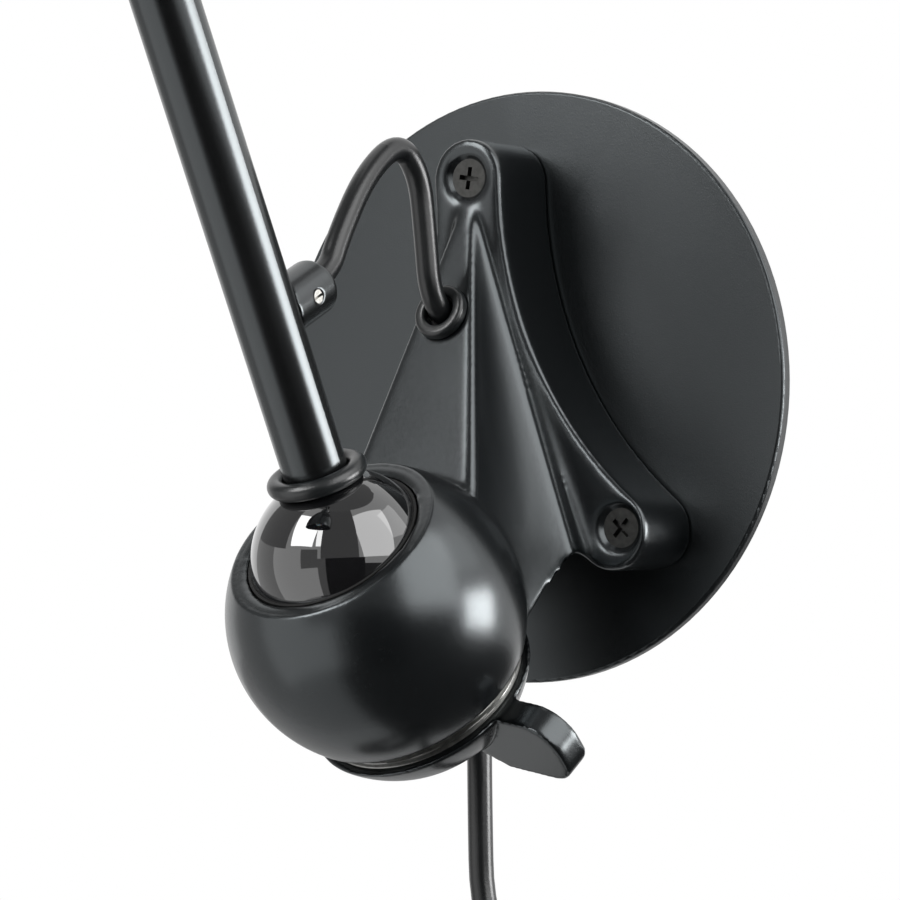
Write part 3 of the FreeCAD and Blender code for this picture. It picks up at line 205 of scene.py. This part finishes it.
looks = {
    "castingPaint": (sprayPaint, {
        "dark": (0.0014, 0.0018, 0.0022), "light": (0.003, 0.0037, 0.0043), "cloud": 25,
        "peel": 900, "grit": 3500, "depth": 0.00002, "rough": 0.19, "spread": 0.06,
        "shine": 1.0}),
    "platePaint": (sprayPaint, {
        "dark": (0.0013, 0.0017, 0.0021), "light": (0.0025, 0.003, 0.0035), "cloud": 14,
        "peel": 2400, "grit": 5200, "depth": 0.00003, "rough": 0.25, "spread": 0.06,
        "shine": 0.9}),
    "tubePaint": (sprayPaint, {
        "dark": (0.003, 0.003, 0.003), "light": (0.006, 0.006, 0.0061), "cloud": 30,
        "peel": 1500, "grit": 4200, "depth": 0.000012, "rough": 0.18, "spread": 0.05,
        "shine": 1.0}),
    "ballGloss": (glossMoulding, {
        "dark": (0.004, 0.004, 0.0045), "light": (0.007, 0.007, 0.008), "cloud": 40,
        "peel": 60, "depth": 0.00001, "rough": 0.03, "spread": 0.02, "shine": 1.0,
        "coat": {"Coat_Weight": 1.0, "Coat_IOR": 1.7, "Coat_Roughness": 0.03}}),
    "linerBlack": (glossMoulding, {
        "dark": (0.006, 0.006, 0.006), "light": (0.014, 0.014, 0.014), "cloud": 500,
        "peel": 2500, "depth": 0.0001, "rough": 0.5, "spread": 0.2, "shine": 0.4}),
    "cableRubber": (glossMoulding, {
        "dark": (0.004, 0.0045, 0.005), "light": (0.008, 0.009, 0.01), "cloud": 120,
        "peel": 1400, "depth": 0.00002, "rough": 0.24, "spread": 0.1, "shine": 0.65}),
    "ringRubber": (glossMoulding, {
        "dark": (0.006, 0.0075, 0.008), "light": (0.011, 0.013, 0.014), "cloud": 150,
        "peel": 2200, "depth": 0.00003, "rough": 0.24, "spread": 0.12, "shine": 0.7}),
    "blackMoulding": (glossMoulding, {
        "dark": (0.012, 0.012, 0.013), "light": (0.02, 0.02, 0.021), "cloud": 60,
        "peel": 2600, "depth": 0.00005, "rough": 0.35, "spread": 0.1, "shine": 0.5}),
    "whiteMoulding": (glossMoulding, {
        "dark": (0.62, 0.61, 0.58), "light": (0.72, 0.71, 0.69), "cloud": 50,
        "peel": 1800, "depth": 0.00003, "rough": 0.3, "spread": 0.1, "shine": 0.5}),
    "zincSteel": (metal, {
        "dark": (0.035, 0.035, 0.034), "light": (0.1, 0.1, 0.096), "cloud": 900,
        "streaks": 2600, "depth": 0.00003, "rough": 0.3, "spread": 0.2}),
    "bareSteel": (metal, {
        "dark": (0.42, 0.43, 0.43), "light": (0.62, 0.62, 0.62), "cloud": 200,
        "streaks": 1500, "depth": 0.00002, "rough": 0.18, "spread": 0.15}),
    "threadSteel": (metal, {
        "dark": (0.2, 0.2, 0.2), "light": (0.42, 0.42, 0.4), "cloud": 700,
        "streaks": 1500, "depth": 0.00002, "rough": 0.22, "spread": 0.15}),
    "alloy": (metal, {
        "dark": (0.45, 0.45, 0.46), "light": (0.6, 0.6, 0.61), "cloud": 150,
        "streaks": 1500, "depth": 0.00002, "rough": 0.28, "spread": 0.15}),
    "brass": (metal, {
        "dark": (0.5, 0.36, 0.14), "light": (0.66, 0.5, 0.23), "cloud": 200,
        "streaks": 1500, "depth": 0.00002, "rough": 0.22, "spread": 0.15}),
    "nickel": (metal, {
        "dark": (0.55, 0.54, 0.5), "light": (0.72, 0.71, 0.68), "cloud": 200,
        "streaks": 1500, "depth": 0.00001, "rough": 0.14, "spread": 0.1}),
    "opalGlass": (frostedGlass, {
        "dark": (0.86, 0.86, 0.84), "light": (0.9, 0.9, 0.88), "cloud": 30,
        "clear": 0.25, "ior": 1.45, "soft": 0.6, "scatter": 0.005, "rough": 0.18,
        "spread": 0.05}),
}
finishes = {name: make(name, look) for name, (make, look) in looks.items()}
print("finishes made:", len(finishes))

slotFinish = {
    "casting_paint": "castingPaint", "plate_paint": "platePaint", "tube_paint": "tubePaint",
    "ball_gloss": "ballGloss", "liner_black": "linerBlack", "rubber_black": "ringRubber",
    "cable_black": "cableRubber", "zinc_steel": "zincSteel", "bare_steel": "bareSteel",
    "cast_alloy": "alloy", "brass": "brass", "moulding_white": "whiteMoulding",
    "moulding_black": "blackMoulding", "shade_paint": "castingPaint", "nickel": "nickel",
    "bulb_glass": "opalGlass",
}
for part in frame["record"]["subparts"]:
    mesh = nodes[part["node"]].data
    mesh.materials.clear()
    mesh.materials.append(finishes[slotFinish[part["material_slot"]]])


def evaluatedMesh(source):
    made = bpy.data.meshes.new_from_object(source.evaluated_get(
        bpy.context.evaluated_depsgraph_get()))
    bpy.data.objects.remove(source)
    return made


# pieces whose edges a casting or a moulding rounds: the CAD shape on an even mesh, smoothed,
# with more passes within the spheres of extra; keep is the share of faces left at the end
softPieces = {
    "bracket_casting": {
        "name": "bracketCasting", "grid": 0.00052, "passes": 18, "keep": 0.47,
        "extra": [((0, -0.0212, 0.0412), 0.009, 4)],
        "globe": {"centre": (0, -0.066, -0.0521), "axis": (0, -0.690882, 0.722967),
                  "radius": 0.0332, "top": 0.0255, "foot": -0.0185,
                  "full": 0.00025, "none": 0.0007}},
    "clamp_cap": {"name": "clampCap", "grid": 0.00036, "passes": 16},
    "lead_collar": {"name": "leadCollar", "grid": 0.0003, "passes": 4},
    "lead_grommet": {"name": "leadGrommet", "grid": 0.00025, "passes": 4},
    "arm_fork": {"name": "armFork", "grid": 0.0005, "passes": 4},
    "clamp_knob": {"name": "clampKnob", "grid": 0.0004, "passes": 3},
    "plug_body": {"name": "plugBody", "grid": 0.0006, "passes": 5},
    "switch_knob": {"name": "switchKnob", "grid": 0.0003, "passes": 3},
}
mending = {"weldWithin": 1e-6, "smoothing": 0.5}
slotOf = {part["node"]: part["material_slot"] for part in frame["record"]["subparts"]}


# a made piece takes a CAD node's place and body
def standsFor(piece, node):
    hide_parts(node)
    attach(piece, nodes[node].parent.name.removeprefix("body:"))
    return piece


def dressed(node, name, mesh):
    mesh.name = name
    mesh.materials.clear()
    mesh.materials.append(finishes[slotFinish[slotOf[node]]])
    return standsFor(newObject(name, mesh), node)


# a copy of a CAD piece's mesh in the lamp's frame, with its loose triangles joined
def welded(node):
    mesh = nodes[node].data.copy()
    mesh.transform(nodes[node].matrix_world)
    made = bmesh.new()
    made.from_mesh(mesh)
    bmesh.ops.remove_doubles(made, verts=made.verts, dist=mending["weldWithin"])
    for face in made.faces:
        face.smooth = True
    made.to_mesh(mesh)
    made.free()
    return mesh


def smoothed(made, chosen, passes):
    for _ in range(passes):
        bmesh.ops.smooth_vert(made, verts=chosen, factor=mending["smoothing"],
                              use_axis_x=True, use_axis_y=True, use_axis_z=True)


# corners near the socket's sphere go onto it, fading to none between full and none
def trueGlobe(made, g):
    centre, axis = Vector(g["centre"]), Vector(g["axis"])
    for corner in made.verts:
        out = corner.co - centre
        away = abs(out.length - g["radius"])
        if away < g["none"] and g["foot"] < out.dot(axis) < g["top"]:
            part = min(1.0, (g["none"] - away) / (g["none"] - g["full"]))
            corner.co = corner.co.lerp(centre + out.normalized() * g["radius"], part)


def softened(node, s):
    source = newObject(s["name"] + "Grid", welded(node))
    grid = source.modifiers.new("grid", "REMESH")
    grid.mode = "VOXEL"
    grid.voxel_size = s["grid"]
    grid.use_smooth_shade = True
    bpy.context.view_layer.update()
    even = evaluatedMesh(source)
    made = bmesh.new()
    made.from_mesh(even)
    smoothed(made, made.verts, s["passes"])
    for centre, radius, passes in s.get("extra", ()):
        near = [v for v in made.verts if (v.co - Vector(centre)).length < radius]
        smoothed(made, near, passes)
    if "globe" in s:
        trueGlobe(made, s["globe"])
    made.to_mesh(even)
    made.free()
    if "keep" in s:
        source = newObject(s["name"] + "Fine", even)
        source.modifiers.new("fewer", "DECIMATE").ratio = s["keep"]
        bpy.context.view_layer.update()
        even = evaluatedMesh(source)
    return dressed(node, s["name"], even)


# a flat turned piece: each corner's normal leans to its largest faces
def levelled(node, name):
    mesh = welded(node)
    mesh.normals_split_custom_set_from_vertices([(0, 0, 0)] * len(mesh.vertices))
    source = newObject(name + "Source", mesh)
    source.modifiers.new("level", "WEIGHTED_NORMAL")
    bpy.context.view_layer.update()
    return dressed(node, name, evaluatedMesh(source))


# what is seen for each CAD node
shown = dict(nodes)
for node, settings in softPieces.items():
    shown[node] = softened(node, settings)
    print(shown[node].name, len(shown[node].data.polygons), "faces")
shown["wall_plate"] = levelled("wall_plate", "wallPlate")
print("plate levelled")


# a closed skin over a row of rings, with a sharp edge round each end
def skinned(name, rings, finish):
    made = bmesh.new()
    corners = [[made.verts.new(place) for place in ring] for ring in rings]
    sides = len(rings[0])
    for one, two in zip(corners, corners[1:]):
        for s in range(sides):
            t = (s + 1) % sides
            made.faces.new((one[s], one[t], two[t], two[s])).smooth = True
    for end in (corners[0][::-1], corners[-1]):
        for edge in made.faces.new(end).edges:
            edge.smooth = False
    bmesh.ops.recalc_face_normals(made, faces=made.faces)
    mesh = bpy.data.meshes.new(name)
    made.to_mesh(mesh)
    made.free()
    mesh.materials.append(finishes[finish])
    return newObject(name, mesh)


# the clamp's steel plug with its screw thread cut; heights are along the axis from its centre,
# and flat and flank give the groove's bottom and the slope of its sides
plug = {
    "name": "clampScrew", "node": "clamp_screw", "centre": (0, -0.066, -0.0521),
    "axis": (0, -0.690882, 0.722967), "crest": 0.02445, "cut": 0.0009, "pitch": 0.0015,
    "low": -0.0234, "high": -0.0106, "relief": 0.0006, "spigot": 0.0199, "foot": -0.0284,
    "core": 0.0004, "flat": 1.5, "flank": 4, "sharp": 50, "sides": 144, "steps": 12,
}


def makePlug(p):
    turn = Vector((0, 0, 1)).rotation_difference(Vector(p["axis"])).to_matrix()
    rows = round((p["high"] - p["low"]) / p["pitch"] * p["steps"])
    heights = [p["low"] + (p["high"] - p["low"]) * row / rows for row in range(rows + 1)]

    def threadRadius(height, part):
        phase = (height / p["pitch"] + part) % 1
        groove = min(1.0, max(0.0, p["flat"] - abs(phase - 0.5) * p["flank"]))
        fade = min(1.0, (height - p["low"]) / p["relief"], (p["high"] - height) / p["relief"])
        return p["crest"] - p["cut"] * groove * fade

    # no radius stands for the thread's own
    outline = [(p["core"], p["foot"]), (p["spigot"], p["foot"]), (p["spigot"], p["low"])]
    outline += [(None, height) for height in heights] + [(p["core"], p["high"])]
    rings = []
    for radius, height in outline:
        ring = []
        for s in range(p["sides"]):
            angle = 2 * math.pi * s / p["sides"]
            reach = threadRadius(height, s / p["sides"]) if radius is None else radius
            ring.append(Vector(p["centre"]) + turn @ Vector(
                (reach * math.cos(angle), reach * math.sin(angle), height)))
        rings.append(ring)
    piece = skinned(p["name"], rings, "threadSteel")
    piece.data.set_sharp_from_angle(angle=math.radians(p["sharp"]))
    standsFor(piece, p["node"])


makePlug(plug)
print("plug threaded")


# the mains cord: its way down from the casting, then a coil of two layers; turns are counted
# from the outside, start is in degrees, and nudge is a small step that finds a direction
mains = {
    "route": [(0, -0.0062, -0.002), (0, -0.0062, -0.0185), (0, -0.0125, -0.0305),
              (0, -0.0205, -0.043), (0, -0.0262, -0.064), (0, -0.0282, -0.092)],
    "centre": (-0.008, -0.188), "offWall": 0.0295, "inner": 0.0215, "pitch": 0.0066,
    "layer": 0.0066, "turns": 4, "start": 45, "last": 8.125, "steps": 24, "nudge": 1e-4,
    "tail": 0.026, "thick": 0.0058, "length": 1.89,
}


# t turns from its start: inwards on the first layer, across, and outwards on the second
def coilPoint(m, t):
    angle = math.radians(m["start"]) - 2 * math.pi * t
    over = 0.0
    if t < m["turns"]:
        radius = m["inner"] + m["pitch"] * (m["turns"] - t)
    elif t < m["turns"] + 0.5:
        crossing = 2 * math.pi * (t - m["turns"])
        radius = m["inner"] - m["pitch"] / (2 * math.pi) * math.sin(crossing)
        over = (1 - math.cos(crossing)) / 2
    else:
        radius = m["inner"] + m["pitch"] * (t - m["turns"] - 0.5)
        over = 1.0
    x, z = m["centre"]
    return Vector((x + radius * math.cos(angle), -m["offWall"] - m["layer"] * over,
                   z + radius * math.sin(angle)))


cordCurve = {"order": 3, "stepsAlong": 8, "stepsRound": 6}


# a smooth line through the points' pull, or a tube where thick is given
def nurbs(name, points, thick=0):
    curve = bpy.data.curves.new(name, "CURVE")
    curve.dimensions = "3D"
    spline = curve.splines.new("NURBS")
    spline.points.add(len(points) - 1)
    for point, place in zip(spline.points, points):
        point.co = (*place, 1)
    spline.order_u = cordCurve["order"]
    spline.use_endpoint_u = True
    spline.resolution_u = cordCurve["stepsAlong"]
    curve.bevel_depth = thick / 2
    curve.bevel_resolution = cordCurve["stepsRound"]
    curve.use_fill_caps = True
    return newObject(name, curve)


def makeMains(m):
    first = coilPoint(m, 0)
    ahead = (coilPoint(m, m["nudge"]) - first).normalized()
    points = [Vector(p) for p in m["route"]]
    points.append(first - ahead * (first.x / ahead.x))
    points.append(first - ahead * m["thick"])
    count = int(m["last"] * m["steps"])
    points += [coilPoint(m, k / m["steps"]) for k in range(count + 1)]
    end = coilPoint(m, m["last"])
    way = (end - coilPoint(m, m["last"] - m["nudge"])).normalized()
    points.append(end + way * m["tail"])
    cord = nurbs("mainsCable", points, m["thick"])
    cord.data.materials.append(finishes["cableRubber"])
    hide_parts("mains_cord", "mains_coil")
    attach(cord, "base")


makeMains(mains)
print("mains cord laid")


# the looped lead, in three pieces; cuts are shares of its length,
# and mouth is where it comes out of the grommet
lead = {
    "route": [(0, -0.0938, 0.0147), (0, -0.0794, 0.0215), (0, -0.0745, 0.0308),
              (0, -0.0635, 0.0453), (0, -0.0503, 0.0539), (0, -0.0426, 0.0469),
              (0, -0.0412, 0.034), (0, -0.04008, 0.0176), (0, -0.02867, 0.01277),
              (0, -0.0225, 0.0055), (0, -0.014, 0.0055)],
    "mouth": (0, -0.0404, 0.0216), "thick": 0.0054, "sides": 48,
    "cuts": (0, 0.268, 0.42, 1),
    "pieces": [("leadUpper", "lead_upper", "ball", "arm"),
               ("leadMiddle", "lead_middle", "cup", "ball"),
               ("leadLower", "lead_lower", "base", "cup")],
}


# the rings of a tube along a line, each turned as little as it can from the one before
def ringsAlong(line, thick, sides):
    rings = []
    side = Vector((1, 0, 0))
    for k, place in enumerate(line):
        ahead = (line[min(k + 1, len(line) - 1)] - line[max(k - 1, 0)]).normalized()
        side = (side - ahead * side.dot(ahead)).normalized()
        other = ahead.cross(side)
        rings.append([place + (side * math.cos(a) + other * math.sin(a)) * thick / 2
                      for a in (2 * math.pi * s / sides for s in range(sides))])
    return rings


def makeLead(settings):
    bpy.context.view_layer.update()
    source = nurbs("leadLine", [Vector(place) for place in settings["route"]])
    line = [v.co.copy() for v in evaluatedMesh(source).vertices]
    rings = ringsAlong(line, settings["thick"], settings["sides"])
    far = [0.0]
    for a, b in zip(line, line[1:]):
        far.append(far[-1] + (b - a).length)

    def nearest(part):
        return min(range(len(far)), key=lambda i: abs(far[i] - far[-1] * part))

    cuts = [nearest(part) for part in settings["cuts"]]
    starts = [line[cut] for cut in cuts[1:-1]] + [Vector(settings["mouth"])]
    for (name, node, near, out), low, high, start in zip(
            settings["pieces"], cuts, cuts[1:], starts):
        made = skinned(name, rings[low:high + 1], "cableRubber")
        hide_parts(node)
        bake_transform(made)


makeLead(lead)
print("lead made")


studio = {
    "middle": (0, -0.09, -0.03), "ambient": 0.15,
    "floor": {"radius": 2.2, "centre": (0, -0.15, -0.46), "segments": 96,
              "colour": (0.82, 0.82, 0.82), "fade": 0.98, "cloud": 3, "rough": 0.7},
    # azimuth 0 is straight out from the wall, 90 is to the right
    "lamps": [
        {"name": "leftWindow", "turn": -19, "rise": 34, "far": 3,
         "size": (1.6, 1.8), "level": 6.2},
        {"name": "leftSlip", "turn": 4, "rise": 34, "far": 3,
         "size": (0.34, 1.8), "level": 5.0},
        {"name": "rightWindow", "turn": 80, "rise": 30, "far": 3,
         "size": (2.4, 3.0), "level": 2.1},
        {"name": "rightLamp", "turn": 121, "rise": 0, "far": 2.6,
         "size": (1.25, 0.9), "level": 10.5},
        {"name": "rightTop", "turn": 118, "rise": 36, "far": 2.6,
         "size": (1.3, 1.3), "level": 0.8},
    ],
    # from and to in azimuth, from and to in elevation, how bright, how far out
    "cards": [
        (8, 55, 2, 62, 0.22, 0.62), (14, 62, -42, 2, 0.02, 0.5), (4, 14, -42, 2, 0.3, 0.5),
        (-60, 4, -42, -8, 1.05, 0.6), (-60, -18, -8, 13, 1.05, 0.6), (-18, 4, -8, 13, 0.3, 0.6),
        (-98, -41, 13, 62, 0.25, 0.62), (-98, -60, -42, 13, 0.5, 0.58),
        (-98, 180, 62, 84, 0.25, 0.62),
        (62, 106, -42, -5, 0.06, 0.5), (106, 180, -42, -16, 0.05, 0.5),
        (0, 180, -89, -42, 0.05, 0.4), (-100, 0, -89, -42, 0.55, 0.4),
    ],
    "cardSteps": 24,
}


def towards(s, turn, rise, far):
    a, e = math.radians(turn), math.radians(rise)
    return Vector(s["middle"]) + far * Vector((
        math.sin(a) * math.cos(e), -math.cos(a) * math.cos(e), math.sin(e)))


# white to the camera, to gloss and through glass; a soft ambient light to all else
def makeWorld(s):
    world = bpy.data.worlds.new("studio")
    scene.world = world
    world.use_nodes = True
    tree = world.node_tree
    tree.nodes.clear()
    path = tree.nodes.new("ShaderNodeLightPath")
    seen = path.outputs["Is Camera Ray"]
    for ray in ("Is Glossy Ray", "Is Transmission Ray"):
        either = tree.nodes.new("ShaderNodeMath")
        either.operation = "MAXIMUM"
        tree.links.new(seen, either.inputs[0])
        tree.links.new(path.outputs[ray], either.inputs[1])
        seen = either.outputs[0]
    level = tree.nodes.new("ShaderNodeMapRange")
    tree.links.new(seen, level.inputs["Value"])
    level.inputs["To Min"].default_value = s["ambient"]
    level.inputs["To Max"].default_value = 1.0
    sky = tree.nodes.new("ShaderNodeBackground")
    tree.links.new(level.outputs[0], sky.inputs["Strength"])
    sky.inputs["Color"].default_value = (1, 1, 1, 1)
    output = tree.nodes.new("ShaderNodeOutputWorld")
    tree.links.new(sky.outputs[0], output.inputs["Surface"])


# level is the light that the lamp would give as a whole sky, so its power grows with its area
def makeLamp(s, lamp):
    data = bpy.data.lights.new(lamp["name"], "AREA")
    data.shape = "RECTANGLE"
    data.size, data.size_y = lamp["size"]
    data.energy = lamp["level"] * math.pi * data.size * data.size_y
    made = newObject(lamp["name"], data)
    made.location = towards(s, lamp["turn"], lamp["rise"], lamp["far"])
    aim = Vector(s["middle"]) - made.location
    made.rotation_euler = aim.to_track_quat("-Z", "Y").to_euler()


# a curved card that only reflections see
def makeCard(s, name, card):
    left, right, low, high, level, far = card
    steps = s["cardSteps"]
    made = bmesh.new()
    grid = [[made.verts.new(towards(s, left + (right - left) * i / steps,
                                    low + (high - low) * j / steps, far))
             for i in range(steps + 1)] for j in range(steps + 1)]
    for one, two in zip(grid, grid[1:]):
        for i in range(steps):
            made.faces.new((one[i], one[i + 1], two[i + 1], two[i]))
    mesh = bpy.data.meshes.new(name)
    made.to_mesh(mesh)
    made.free()
    paper = Finish(name + "Paper", Base_Color=(0, 0, 0), Specular_IOR_Level=0,
                   Emission_Color=(level, level, level), Emission_Strength=1)
    mesh.materials.append(paper.material)
    sheet = newObject(name, mesh)
    for ray in ("camera", "diffuse", "transmission", "shadow"):
        setattr(sheet, "visible_" + ray, False)


def makeFloor(floor):
    made = bmesh.new()
    bmesh.ops.create_circle(made, cap_ends=True, segments=floor["segments"],
                            radius=floor["radius"], matrix=Matrix.Translation(floor["centre"]))
    mesh = bpy.data.meshes.new("floor")
    made.to_mesh(mesh)
    made.free()
    f = Finish("floorPaper")
    faded = tuple(part * floor["fade"] for part in floor["colour"])
    mesh.materials.append(f.paint(
        Base_Color=f.mix(f.noise(floor["cloud"], detail=2), floor["colour"], faded),
        Roughness=floor["rough"]))
    newObject("floor", mesh)


makeWorld(studio)
for lamp in studio["lamps"]:
    makeLamp(studio, lamp)
for k, card in enumerate(studio["cards"]):
    makeCard(studio, "card%d" % k, card)
makeFloor(studio["floor"])
print("studio set")
